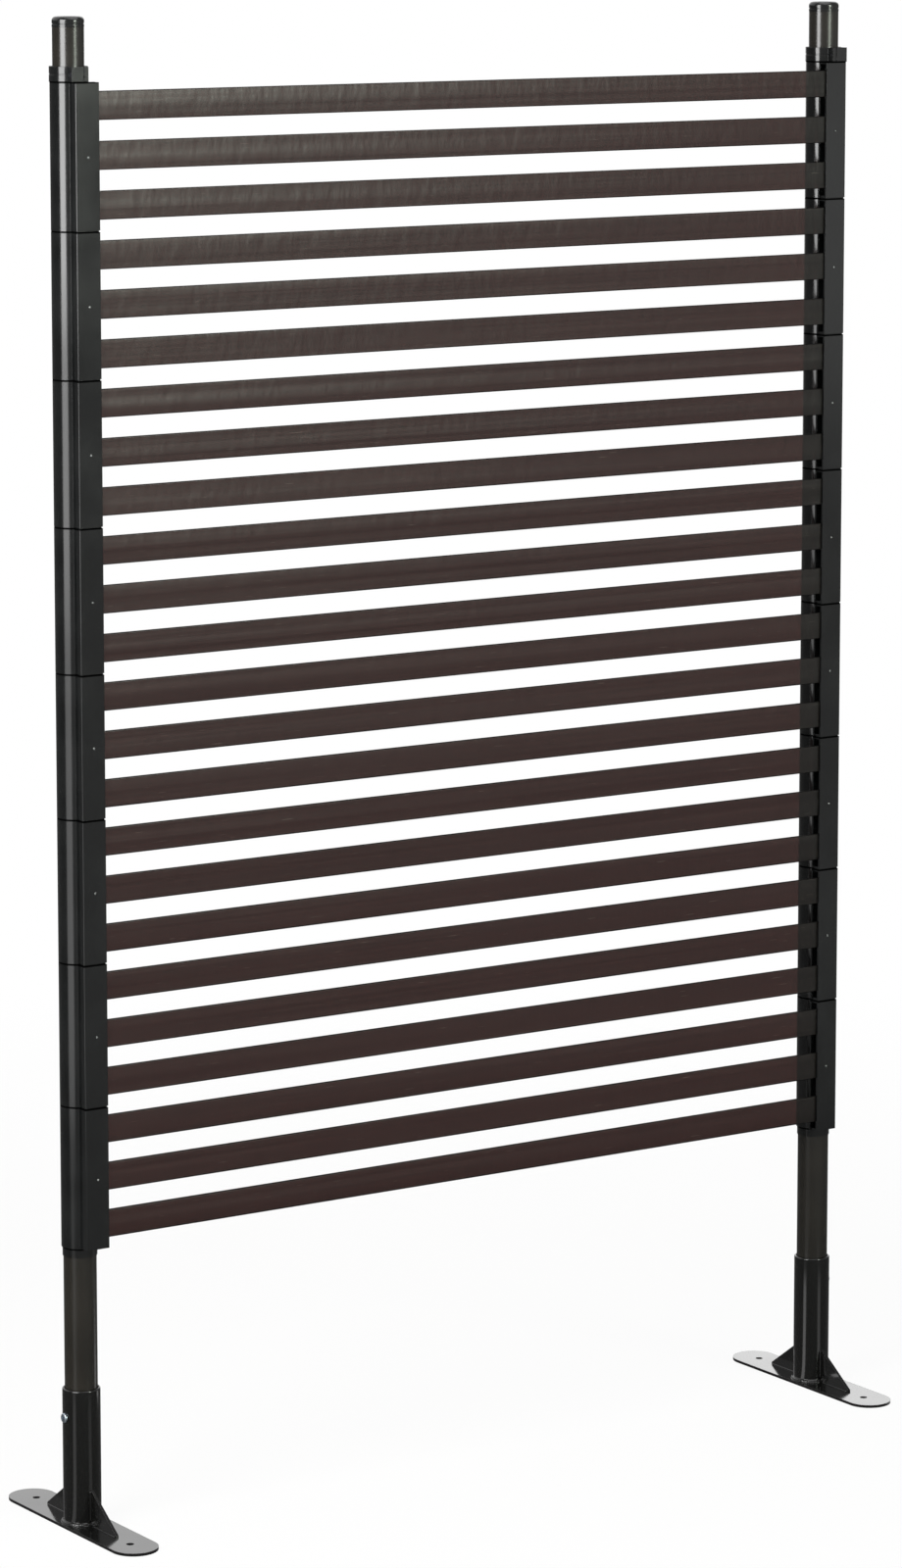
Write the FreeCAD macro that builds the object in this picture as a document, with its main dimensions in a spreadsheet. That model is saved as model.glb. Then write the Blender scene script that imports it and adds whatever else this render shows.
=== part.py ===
import FreeCAD, Part
import math
import os
import re
import Sketcher

# Garden fence panel: slats held at both ends by stacked bracket modules on two round posts,
# each post standing in a welded foot. +Z is up, the front faces -Y, millimetres.
# The origin is on the ground, midway between the posts.

module_count = 8
slats_per_module = 3

sizes = (
    ("post_spacing", 920.0),
    ("module_height", 144.0),
    ("exposed_post", 37.5),
    # tubes of the post
    ("upper_tube_diameter", 31.0),
    ("tube_wall", 0.9),
    ("shoulder_step", 1.0),
    ("lower_tube_length", 274.0),
    ("spigot_length", 60.0),
    ("spigot_clearance", 0.1),
    ("neck_length", 4.0),
    # end cap
    ("cap_height", 10.0),
    ("cap_overhang", 0.2),
    ("cap_round", 4.0),
    ("cap_flange", 2.6),
    ("cap_groove_width", 1.0),
    ("cap_groove_depth", 0.5),
    ("cap_roof", 3.0),
    ("plug_length", 14.0),
    ("plug_wall", 1.5),
    ("plug_clearance", 0.1),
    # bracket module
    ("sleeve_clearance", 0.5),
    ("sleeve_wall", 2.4),
    ("sleeve_chamfer", 0.6),
    ("lip_height", 8.5),
    ("lip_wall", 1.3),
    ("nest_clearance", 0.1),
    ("box_outer_reach", 8.7),
    ("box_inner_reach", 17.2),
    ("box_corner_round", 1.5),
    ("front_wall", 2.45),
    ("side_wall", 2.2),
    ("back_wall", 2.0),
    ("end_wall", 2.0),
    ("rib", 2.0),
    ("mouth_depth", 6.0),
    ("seam_gap", 1.5),
    ("gate_mark_diameter", 2.6),
    ("gate_mark_depth", 0.4),
    # slat
    ("slat_height", 28.0),
    ("slat_thickness", 4.0),
    ("slat_edge_round", 1.0),
    ("slat_standoff", 3.6),
    ("slat_clearance", 0.15),
    ("slat_end_gap", 0.3),
    ("slat_lift", 1.5),
    # stop collar
    ("collar_height", 15.0),
    ("collar_clearance", 0.3),
    ("collar_wall", 3.1),
    ("collar_groove_width", 1.2),
    ("collar_groove_depth", 0.4),
    ("lug_outer_reach", 11.0),
    ("lug_inner_reach", 7.3),
    ("lug_front_reach", 26.0),
    ("slit_place", 2.7),
    ("slit_width", 1.0),
    # pinch screw of the collar
    ("pinch_diameter", 3.0),
    ("pinch_head_diameter", 5.5),
    ("pinch_head_height", 3.0),
    ("pinch_head_sink", 0.5),
    ("pinch_head_clearance", 0.3),
    ("pinch_end_gap", 0.5),
    ("screw_clearance", 0.05),
    # foot
    ("plate_length", 250.0),
    ("plate_width", 48.0),
    ("plate_thickness", 3.0),
    ("plate_hole_spacing", 186.0),
    ("plate_hole_diameter", 7.5),
    ("socket_clearance", 0.95),
    ("socket_wall", 1.6),
    ("socket_height", 138.0),
    ("socket_rim_round", 1.4),
    ("weld_leg", 3.0),
    ("gusset_length", 49.0),
    ("gusset_height", 36.5),
    ("gusset_thickness", 3.0),
    ("gusset_snipe", 4.0),
    ("gusset_tip", 2.0),
    # lock screw of the foot
    ("lock_height", 109.0),
    ("lock_diameter", 6.0),
    ("lock_head_diameter", 10.0),
    ("lock_head_height", 2.2),
    ("lock_head_round", 1.4),
    ("lock_gap", 0.3),
    ("lock_recess_length", 5.0),
    ("lock_recess_width", 1.4),
    ("lock_recess_depth", 1.5),
    # how far a cut runs past the solid that it opens
    ("cut_overrun", 1.0),
)

# What follows from the sizes: radii from the post axis, distances in front of it, heights above ground.
derived = (
    ("upper_radius", "upper_tube_diameter / 2"),
    ("upper_bore_radius", "upper_radius - tube_wall"),
    ("lower_radius", "upper_radius + shoulder_step"),
    ("spigot_radius", "upper_bore_radius - spigot_clearance"),
    ("cap_radius", "upper_radius + cap_overhang"),
    ("plug_radius", "upper_bore_radius - plug_clearance"),
    ("bore_radius", "upper_radius + sleeve_clearance"),
    ("sleeve_radius", "bore_radius + sleeve_wall"),
    ("lip_radius", "bore_radius + lip_wall"),
    ("nest_radius", "lip_radius + nest_clearance"),
    ("nest_floor", "module_height - lip_height - nest_clearance"),
    ("slat_back", "sleeve_radius + slat_standoff"),
    ("slat_front", "slat_back + slat_thickness"),
    ("slot_back", "slat_back - slat_clearance"),
    ("channel_front", "slat_front + slat_clearance"),
    ("box_front", "channel_front + front_wall"),
    ("box_back", "sleeve_radius - back_wall"),
    ("slat_pitch", f"module_height / {slats_per_module}"),
    ("slat_length", "post_spacing + 2 * (box_outer_reach - side_wall - slat_end_gap)"),
    ("shoulder_level", "plate_thickness + lower_tube_length"),
    ("panel_bottom", "shoulder_level + lip_height"),
    ("panel_top", f"panel_bottom + {module_count} * module_height"),
    ("tube_top", "panel_top + collar_height + exposed_post"),
    ("collar_bore_radius", "upper_radius + collar_clearance"),
    ("collar_radius", "collar_bore_radius + collar_wall"),
    ("pinch_reach", "(collar_radius + lug_front_reach) / 2"),
    ("pinch_seat", "lug_outer_reach - pinch_head_height - pinch_head_sink"),
    ("pinch_hole_radius", "pinch_diameter / 2 + screw_clearance"),
    ("pinch_head_radius", "pinch_head_diameter / 2"),
    ("socket_bore_radius", "lower_radius + socket_clearance"),
    ("socket_radius", "socket_bore_radius + socket_wall"),
    ("lock_tip_reach", "lower_radius + lock_gap"),
    ("lock_seat_reach", "socket_radius + lock_gap"),
    ("lock_head_reach", "lock_seat_reach + lock_head_height"),
)

doc = FreeCAD.newDocument("garden_fence_panel")
size_sheet = doc.addObject("Spreadsheet::Sheet", "sizes")
derived_sheet = doc.addObject("Spreadsheet::Sheet", "derived")
size_names = {name for name, number in sizes}
derived_names = {name for name, rule in derived}


# A rule written in size names becomes an expression that reads the two sheets.
def formula(rule):
    def sheet_name(found):
        word = found.group(0)
        if word in size_names:
            return f"sizes.{word}"
        if word in derived_names:
            return f"derived.{word}"
        return word
    return re.sub(r"[a-z_]+", sheet_name, rule)


for row, (name, number) in enumerate(sizes, start=1):
    size_sheet.set(f"A{row}", name)
    size_sheet.set(f"B{row}", str(number))
    size_sheet.setAlias(f"B{row}", name)
doc.recompute()
for row, (name, rule) in enumerate(derived, start=1):
    derived_sheet.set(f"A{row}", name)
    derived_sheet.set(f"B{row}", "=" + formula(rule).replace("derived.", ""))
    derived_sheet.setAlias(f"B{row}", name)
doc.recompute()


def measure(rule):
    return float(size_sheet.evalExpression(formula(rule)))


sub_parts = []


def place(item, x_rule, y_rule, z_rule):
    for axis, rule in (("x", x_rule), ("y", y_rule), ("z", z_rule)):
        item.setExpression(f"Placement.Base.{axis}", formula(rule))


def new_body(label):
    body = doc.addObject("PartDesign::Body", label)
    body.Label = label
    body.AllowCompound = True
    sub_parts.append(body)
    return body


# A sketch on one of the body's origin planes, moved along that plane's normal by a rule.
def new_sketch(body, name, plane_role, shift_rule="0"):
    sketch = body.newObject("Sketcher::SketchObject", f"{body.Name}_{name}")
    plane = next(item for item in body.Origin.OriginFeatures if item.Role == plane_role)
    sketch.AttachmentSupport = (plane, [""])
    sketch.MapMode = "FlatFace"
    sketch.setExpression("AttachmentOffset.Base.z", formula(shift_rule))
    return sketch


def bind(sketch, kind, geometry, point, rule):
    index = sketch.addConstraint(Sketcher.Constraint(kind, -1, 1, geometry, point, measure(rule)))
    sketch.setExpression(f"Constraints[{index}]", formula(rule))


# A closed outline through corners (x, y), counter-clockwise. A corner (x, y, (cx, cy)) starts an
# arc about (cx, cy) that ends at the next corner.
def draw_outline(sketch, corners):
    points = [FreeCAD.Vector(measure(corner[0]), measure(corner[1]), 0) for corner in corners]
    edges = []
    for index, corner in enumerate(corners):
        start = points[index]
        end = points[(index + 1) % len(points)]
        if len(corner) == 2:
            edges.append(sketch.addGeometry(Part.LineSegment(start, end)))
            continue
        centre = FreeCAD.Vector(measure(corner[2][0]), measure(corner[2][1]), 0)
        circle = Part.Circle(centre, FreeCAD.Vector(0, 0, 1), (start - centre).Length)
        from_angle = math.atan2(start.y - centre.y, start.x - centre.x)
        to_angle = math.atan2(end.y - centre.y, end.x - centre.x)
        edges.append(sketch.addGeometry(Part.ArcOfCircle(circle, from_angle, to_angle)))
    for index, edge in enumerate(edges):
        sketch.addConstraint(Sketcher.Constraint("Coincident", edges[index - 1], 2, edge, 1))
        bind(sketch, "DistanceX", edge, 1, corners[index][0])
        bind(sketch, "DistanceY", edge, 1, corners[index][1])
        if len(corners[index]) == 3:
            chord = points[(index + 1) % len(points)] - points[index]
            centre_x, centre_y = corners[index][2]
            if abs(chord.x) >= abs(chord.y):
                bind(sketch, "DistanceY", edge, 3, centre_y)
            else:
                bind(sketch, "DistanceX", edge, 3, centre_x)


def draw_rectangle(sketch, left, bottom, right, top):
    draw_outline(sketch, ((left, bottom), (right, bottom), (right, top), (left, top)))


def draw_circle(sketch, x_rule, y_rule, radius_rule):
    centre = FreeCAD.Vector(measure(x_rule), measure(y_rule), 0)
    circle = Part.Circle(centre, FreeCAD.Vector(0, 0, 1), measure(radius_rule))
    geometry = sketch.addGeometry(circle)
    bind(sketch, "DistanceX", geometry, 3, x_rule)
    bind(sketch, "DistanceY", geometry, 3, y_rule)
    index = sketch.addConstraint(Sketcher.Constraint("Radius", geometry, measure(radius_rule)))
    sketch.setExpression(f"Constraints[{index}]", formula(radius_rule))


def revolve(body, sketch, axis_name, kind="PartDesign::Revolution"):
    feature = body.newObject(kind, f"{sketch.Name}_turned")
    feature.Profile = sketch
    feature.ReferenceAxis = (sketch, [axis_name])
    doc.recompute()
    return feature


def pad(body, sketch, length_rule):
    feature = body.newObject("PartDesign::Pad", f"{sketch.Name}_pad")
    feature.Profile = sketch
    feature.setExpression("Length", formula(length_rule))
    doc.recompute()
    return feature


# A pocket runs from its sketch against the plane's normal, and has to take material away.
def pocket(body, sketch, length_rule):
    before = body.Shape.Volume
    feature = body.newObject("PartDesign::Pocket", f"{sketch.Name}_pocket")
    feature.Profile = sketch
    feature.setExpression("Length", formula(length_rule))
    doc.recompute()
    if not body.Shape.Volume < before:
        raise RuntimeError(f"{feature.Name} cuts nothing")
    return feature


def repeat(source, label, x_rule, y_rule, z_rule):
    copy = doc.addObject("App::Link", label)
    copy.LinkedObject = source
    copy.Label = label
    place(copy, x_rule, y_rule, z_rule)
    sub_parts.append(copy)
    return copy


# The right-hand piece is the left-hand one seen in the plane midway between the posts.
def mirror(source, label):
    copy = doc.addObject("Part::Mirroring", label)
    copy.Source = source
    copy.Label = label
    copy.Normal = FreeCAD.Vector(1, 0, 0)
    sub_parts.append(copy)
    return copy


left_post = "-post_spacing / 2"


# Slat: a flat extruded strip with eased edges, reaching into the bracket at each end.
def make_slats():
    first = new_body("slat_01")
    section = new_sketch(first, "section", "YZ_Plane", "-slat_length / 2")
    front, back = "-slat_front", "-slat_back"
    low, high = "-slat_height / 2", "slat_height / 2"
    front_in, back_in = f"{front} + slat_edge_round", f"{back} - slat_edge_round"
    low_in, high_in = f"{low} + slat_edge_round", f"{high} - slat_edge_round"
    draw_outline(section, (
        (front_in, low),
        (back_in, low, (back_in, low_in)),
        (back, low_in),
        (back, high_in, (back_in, high_in)),
        (back_in, high),
        (front_in, high, (front_in, high_in)),
        (front, high_in),
        (front, low_in, (front_in, low_in)),
    ))
    pad(first, section, "slat_length")
    for index in range(module_count * slats_per_module):
        level = f"panel_bottom + slat_lift + ({index} + 0.5) * slat_pitch"
        if index == 0:
            place(first, "0", "0", level)
        else:
            repeat(first, f"slat_{index + 1:02d}", "0", "0", level)


# Bracket module: a sleeve round the post, with a box in front of it that is open on its inner side.
# The box holds three slat ends between ribs, with an empty cell between one slat and the next.
# The ribs start behind the mouth of the box, and its back wall ends level with the sleeve's side.
# A lip below the sleeve nests in the counterbore of the module underneath.
def make_brackets():
    first = new_body("bracket_left_1")
    sleeve = new_sketch(first, "sleeve", "XZ_Plane")
    draw_outline(sleeve, (
        ("0", "-lip_height"),
        ("lip_radius", "-lip_height"),
        ("lip_radius", "0"),
        ("sleeve_radius - sleeve_chamfer", "0"),
        ("sleeve_radius", "sleeve_chamfer"),
        ("sleeve_radius", "module_height - sleeve_chamfer"),
        ("sleeve_radius - sleeve_chamfer", "module_height"),
        ("0", "module_height"),
    ))
    revolve(first, sleeve, "V_Axis")

    box = new_sketch(first, "box", "XY_Plane", "seam_gap")
    corner_x = "-(box_outer_reach - box_corner_round)"
    corner_y = "-(box_front - box_corner_round)"
    draw_outline(box, (
        ("-box_outer_reach", "-box_back"),
        ("-box_outer_reach", corner_y, (corner_x, corner_y)),
        (corner_x, "-box_front"),
        ("box_inner_reach", "-box_front"),
        ("box_inner_reach", "-sleeve_radius"),
        ("sleeve_radius", "-sleeve_radius"),
        ("sleeve_radius", "-box_back"),
    ))
    pad(first, box, "module_height - seam_gap")

    bore = new_sketch(first, "bore", "XZ_Plane")
    draw_outline(bore, (
        ("0", "-lip_height - cut_overrun"),
        ("bore_radius", "-lip_height - cut_overrun"),
        ("bore_radius", "nest_floor"),
        ("nest_radius", "nest_floor"),
        ("nest_radius", "module_height + cut_overrun"),
        ("0", "module_height + cut_overrun"),
    ))
    before = first.Shape.Volume
    revolve(first, bore, "V_Axis", "PartDesign::Groove")
    if not first.Shape.Volume < before:
        raise RuntimeError("the sleeve has no bore")

    openings = new_sketch(first, "openings", "YZ_Plane", "box_inner_reach + cut_overrun")
    cell_floor = "seam_gap + end_wall"
    for index in range(slats_per_module):
        middle = f"slat_lift + ({index} + 0.5) * slat_pitch"
        slot_low = f"{middle} - slat_height / 2 - slat_clearance"
        slot_high = f"{middle} + slat_height / 2 + slat_clearance"
        draw_rectangle(openings, "-channel_front", slot_low, "-slot_back", slot_high)
        draw_rectangle(openings, "-channel_front", cell_floor, "-sleeve_radius", f"{slot_low} - rib")
        cell_floor = f"{slot_high} + rib"
    draw_rectangle(openings, "-channel_front", cell_floor, "-sleeve_radius", "module_height - end_wall")
    pocket(first, openings, "cut_overrun + box_inner_reach + box_outer_reach - side_wall")

    mouth = new_sketch(first, "mouth", "YZ_Plane", "box_inner_reach + cut_overrun")
    mouth_low, mouth_high = "seam_gap + end_wall", "module_height - end_wall"
    draw_rectangle(mouth, "-channel_front", mouth_low, "-sleeve_radius", mouth_high)
    pocket(first, mouth, "cut_overrun + mouth_depth")

    gate_mark = new_sketch(first, "gate_mark", "XZ_Plane", "box_front - gate_mark_depth")
    gate_place = "(box_inner_reach - box_outer_reach + box_corner_round) / 2"
    draw_circle(gate_mark, gate_place, "module_height / 2", "gate_mark_diameter / 2")
    before = first.Shape.Volume
    dimple = first.newObject("PartDesign::Pocket", "gate_mark_pocket")
    dimple.Profile = gate_mark
    dimple.Reversed = True
    dimple.setExpression("Length", formula("gate_mark_depth + cut_overrun"))
    doc.recompute()
    if not first.Shape.Volume < before:
        raise RuntimeError("the gate mark cuts nothing")

    place(first, left_post, "0", "panel_bottom")
    doc.recompute()
    first_right = mirror(first, "bracket_right_1")
    for index in range(1, module_count):
        rise = f"{index} * module_height"
        repeat(first, f"bracket_left_{index + 1}", left_post, "0", f"panel_bottom + {rise}")
        repeat(first_right, f"bracket_right_{index + 1}", "0", "0", rise)


# Post: a lower tube with a necked spigot, and an upper tube that slips over the spigot.
# The shoulder between them carries the upper tube and the lowest bracket.
def make_post_tubes():
    lower = new_body("lower_tube_left")
    profile = new_sketch(lower, "profile", "XZ_Plane")
    spigot_top = "lower_tube_length + spigot_length"
    draw_outline(profile, (
        ("lower_radius - tube_wall", "0"),
        ("lower_radius", "0"),
        ("lower_radius", "lower_tube_length"),
        ("spigot_radius", "lower_tube_length"),
        ("spigot_radius", spigot_top),
        ("spigot_radius - tube_wall", spigot_top),
        ("spigot_radius - tube_wall", "lower_tube_length - tube_wall"),
        ("lower_radius - tube_wall", "lower_tube_length - tube_wall - neck_length"),
    ))
    revolve(lower, profile, "V_Axis")
    place(lower, left_post, "0", "plate_thickness")

    upper = new_body("upper_tube_left")
    profile = new_sketch(upper, "profile", "XZ_Plane")
    draw_rectangle(profile, "upper_bore_radius", "0", "upper_radius", "tube_top - shoulder_level")
    revolve(upper, profile, "V_Axis")
    place(upper, left_post, "0", "shoulder_level")
    return lower, upper


# End cap: a plug in the tube, a flange on its rim, a shallow groove and a rounded top.
def make_cap():
    cap = new_body("end_cap_left")
    profile = new_sketch(cap, "profile", "XZ_Plane")
    groove_top = "cap_flange + cap_groove_width"
    shoulder = "cap_height - cap_round"
    draw_outline(profile, (
        ("plug_radius - plug_wall", "-plug_length"),
        ("plug_radius", "-plug_length"),
        ("plug_radius", "0"),
        ("cap_radius", "0"),
        ("cap_radius", "cap_flange"),
        ("cap_radius - cap_groove_depth", "cap_flange"),
        ("cap_radius - cap_groove_depth", groove_top),
        ("cap_radius", groove_top),
        ("cap_radius", shoulder, ("cap_radius - cap_round", shoulder)),
        ("cap_radius - cap_round", "cap_height"),
        ("0", "cap_height"),
        ("0", "cap_height - cap_roof"),
        ("plug_radius - plug_wall", "cap_height - cap_roof"),
    ))
    revolve(cap, profile, "V_Axis")
    place(cap, left_post, "0", "tube_top")
    return cap


# Stop collar: a split ring with a lug in front, slit so that the pinch screw can close it on the post.
def make_collar():
    collar = new_body("stop_collar_left")
    ring = new_sketch(collar, "ring", "XZ_Plane")
    groove_low = "(collar_height - collar_groove_width) / 2"
    groove_high = "(collar_height + collar_groove_width) / 2"
    draw_outline(ring, (
        ("0", "0"),
        ("collar_radius", "0"),
        ("collar_radius", groove_low),
        ("collar_radius - collar_groove_depth", groove_low),
        ("collar_radius - collar_groove_depth", groove_high),
        ("collar_radius", groove_high),
        ("collar_radius", "collar_height"),
        ("0", "collar_height"),
    ))
    revolve(collar, ring, "V_Axis")

    lug = new_sketch(collar, "lug", "XY_Plane")
    lug_back = "-(collar_bore_radius + collar_wall / 2)"
    draw_rectangle(lug, "-lug_outer_reach", "-lug_front_reach", "lug_inner_reach", lug_back)
    pad(collar, lug, "collar_height")

    bore = new_sketch(collar, "bore", "XY_Plane", "collar_height + cut_overrun")
    draw_circle(bore, "0", "0", "collar_bore_radius")
    pocket(collar, bore, "collar_height + 2 * cut_overrun")

    slit = new_sketch(collar, "slit", "XY_Plane", "collar_height + cut_overrun")
    slit_left, slit_right = "slit_place - slit_width / 2", "slit_place + slit_width / 2"
    draw_rectangle(slit, slit_left, "-lug_front_reach - cut_overrun", slit_right, "0")
    pocket(collar, slit, "collar_height + 2 * cut_overrun")

    hole = new_sketch(collar, "screw_hole", "YZ_Plane", "lug_inner_reach + cut_overrun")
    draw_circle(hole, "-pinch_reach", "collar_height / 2", "pinch_hole_radius")
    pocket(collar, hole, "cut_overrun + lug_inner_reach + lug_outer_reach + cut_overrun")

    head_hole = new_sketch(collar, "head_hole", "YZ_Plane", "-pinch_seat")
    head_hole_radius = "pinch_head_radius + pinch_head_clearance"
    draw_circle(head_hole, "-pinch_reach", "collar_height / 2", head_hole_radius)
    pocket(collar, head_hole, "lug_outer_reach - pinch_seat + cut_overrun")
    place(collar, left_post, "0", "panel_top")
    return collar


# Pinch screw: its head seats in the outer jaw and its end is in the inner jaw.
def make_pinch_screw():
    screw = new_body("pinch_screw_left")
    profile = new_sketch(screw, "profile", "XY_Plane")
    head_end = "-(pinch_seat + pinch_head_height)"
    draw_outline(profile, (
        ("lug_inner_reach - pinch_end_gap", "0"),
        ("lug_inner_reach - pinch_end_gap", "pinch_diameter / 2"),
        ("-pinch_seat", "pinch_diameter / 2"),
        ("-pinch_seat", "pinch_head_radius"),
        (head_end, "pinch_head_radius"),
        (head_end, "0"),
    ))
    revolve(screw, profile, "H_Axis")
    place(screw, left_post, "-pinch_reach", "panel_top + collar_height / 2")
    return screw


# Base plate: a flat strip with round ends and a fixing hole near each end.
def make_plate():
    plate = new_body("base_plate_left")
    outline = new_sketch(plate, "outline", "XY_Plane")
    side = "plate_width / 2"
    end = "(plate_length - plate_width) / 2"
    draw_outline(outline, (
        (side, f"-{end}"),
        (side, end, ("0", end)),
        (f"-{side}", end),
        (f"-{side}", f"-{end}", ("0", f"-{end}")),
    ))
    for hole_place in ("-plate_hole_spacing / 2", "plate_hole_spacing / 2"):
        draw_circle(outline, "0", hole_place, "plate_hole_diameter / 2")
    pad(plate, outline, "plate_thickness")
    place(plate, left_post, "0", "0")
    return plate


# Socket: a tube with a rounded rim and a weld bead at its base, drilled for the lock screw.
def make_socket():
    socket = new_body("socket_tube_left")
    profile = new_sketch(socket, "profile", "XZ_Plane")
    rim = "socket_height - socket_rim_round"
    rim_radius = "socket_radius - socket_rim_round"
    draw_outline(profile, (
        ("socket_bore_radius", "0"),
        ("socket_radius + weld_leg", "0"),
        ("socket_radius", "weld_leg"),
        ("socket_radius", rim, (rim_radius, rim)),
        (rim_radius, "socket_height"),
        ("socket_bore_radius", "socket_height"),
    ))
    revolve(socket, profile, "V_Axis")
    hole = new_sketch(socket, "lock_hole", "YZ_Plane")
    draw_circle(hole, "0", "lock_height", "lock_diameter / 2 + screw_clearance")
    pocket(socket, hole, "socket_radius + cut_overrun")
    place(socket, left_post, "0", "plate_thickness")
    return socket


# Gussets: a triangle in front of the socket and one behind it, with the inner corner cut off
# to clear the weld bead.
def make_gussets():
    gussets = new_body("gussets_left")
    sides = new_sketch(gussets, "sides", "YZ_Plane", "-gusset_thickness / 2")
    for side in ("-", ""):
        draw_outline(sides, (
            (f"{side}(socket_radius + gusset_snipe)", "0"),
            (f"{side}(socket_radius + gusset_length)", "0"),
            (f"{side}(socket_radius + gusset_length)", "gusset_tip"),
            (f"{side}socket_radius", "gusset_height"),
            (f"{side}socket_radius", "gusset_snipe"),
        ))
    pad(gussets, sides, "gusset_thickness")
    place(gussets, left_post, "0", "plate_thickness")
    return gussets


# Lock screw: a pan head with a cross recess, and a shank that stops against the post.
def make_lock_screw():
    screw = new_body("lock_screw_left")
    profile = new_sketch(screw, "profile", "XY_Plane")
    head_radius = "lock_head_diameter / 2"
    round_x = "-(lock_head_reach - lock_head_round)"
    round_y = "lock_head_diameter / 2 - lock_head_round"
    draw_outline(profile, (
        ("-lock_tip_reach", "0"),
        ("-lock_tip_reach", "lock_diameter / 2"),
        ("-lock_seat_reach", "lock_diameter / 2"),
        ("-lock_seat_reach", head_radius),
        (round_x, head_radius, (round_x, round_y)),
        ("-lock_head_reach", round_y),
        ("-lock_head_reach", "0"),
    ))
    revolve(screw, profile, "H_Axis")
    recess = new_sketch(screw, "recess", "YZ_Plane", "-(lock_head_reach - lock_recess_depth)")
    far, near = "lock_recess_length / 2", "lock_recess_width / 2"
    draw_outline(recess, (
        (far, f"-{near}"),
        (far, near),
        (near, near),
        (near, far),
        (f"-{near}", far),
        (f"-{near}", near),
        (f"-{far}", near),
        (f"-{far}", f"-{near}"),
        (f"-{near}", f"-{near}"),
        (f"-{near}", f"-{far}"),
        (near, f"-{far}"),
        (near, f"-{near}"),
    ))
    pocket(screw, recess, "lock_recess_depth + cut_overrun")
    place(screw, left_post, "0", "plate_thickness + lock_height")
    return screw


make_slats()
make_brackets()
lower_tube, upper_tube = make_post_tubes()
left_pieces = (
    lower_tube,
    upper_tube,
    make_cap(),
    make_collar(),
    make_pinch_screw(),
    make_plate(),
    make_socket(),
    make_gussets(),
    make_lock_screw(),
)
doc.recompute()
for piece in left_pieces:
    mirror(piece, piece.Label.replace("_left", "_right"))
doc.recompute()

for item in doc.Objects:
    if "Invalid" in item.State or "Error" in item.State:
        raise RuntimeError(f"{item.Label} did not build: {item.State}")
shapes = {}
for item in sub_parts:
    shape = Part.getShape(item)
    if shape.isNull() or not shape.isValid() or not shape.Solids:
        raise RuntimeError(f"{item.Label} has no valid solid")
    shapes[item.Label] = shape

os.makedirs("parts", exist_ok=True)
for label, shape in shapes.items():
    shape.exportStep(f"parts/{label}.step")
    print(f"{label}: {len(shape.Solids)} solid, {shape.Volume:.0f} mm3")
print(f"{len(shapes)} sub-parts")
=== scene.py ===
# Garden fence panel: brown slats held by two stacks of black bracket modules on round posts with
# welded feet. Metres, +Z up, the slat side faces -Y, the origin is on the ground midway between
# the posts.
import bmesh
import bpy
import math
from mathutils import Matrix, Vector


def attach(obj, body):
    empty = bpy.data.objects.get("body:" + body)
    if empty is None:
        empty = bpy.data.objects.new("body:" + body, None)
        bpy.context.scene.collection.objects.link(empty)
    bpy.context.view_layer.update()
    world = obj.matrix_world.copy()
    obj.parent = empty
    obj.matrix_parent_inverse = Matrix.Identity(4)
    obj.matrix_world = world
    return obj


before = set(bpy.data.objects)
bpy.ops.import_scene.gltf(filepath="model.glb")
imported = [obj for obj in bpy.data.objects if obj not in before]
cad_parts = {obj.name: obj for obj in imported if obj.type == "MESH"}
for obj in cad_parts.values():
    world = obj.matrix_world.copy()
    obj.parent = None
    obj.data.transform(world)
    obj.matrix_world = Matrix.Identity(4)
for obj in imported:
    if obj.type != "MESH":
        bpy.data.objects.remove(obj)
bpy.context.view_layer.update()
mm = 0.001
sides = {"left": -1, "right": 1}
postAxis = 460.0                    # mm from the middle of the panel to each post
noiseLow, noiseHigh = 0.3, 0.7      # most of a noise texture lies between these
print("frame loaded,", len(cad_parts), "nodes")


# sRGB hex code to the linear colour that a socket takes
def hexToLinear(code):
    channels = [int(code[i:i + 2], 16) / 255 for i in (0, 2, 4)]
    linear = [c / 12.92 if c <= 0.04045 else ((c + 0.055) / 1.055) ** 2.4 for c in channels]
    return (*linear, 1.0)


# a real size in mm to the scale of a pattern, which is how often it repeats in a metre
def perMetre(size):
    return 1 / (size * mm)


# adds one node: settings are its own properties, sockets are values or the outputs that feed its
# inputs. MapRange takes 1 and 2 as the range it reads and 3 and 4 as the range it gives, Mix takes
# numbers at 2 and 3 and colours at 6 and 7.
def addNode(tree, kind, sockets, **settings):
    node = tree.nodes.new(kind)
    for name, value in settings.items():
        setattr(node, name, value)
    for name, value in sockets.items():
        if isinstance(value, bpy.types.NodeSocket):
            tree.links.new(value, node.inputs[name])
        else:
            node.inputs[name].default_value = value
    return node


def newFinish(name):
    material = bpy.data.materials.new(name)
    material.use_nodes = True
    material.node_tree.nodes.clear()
    return material, material.node_tree


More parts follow.
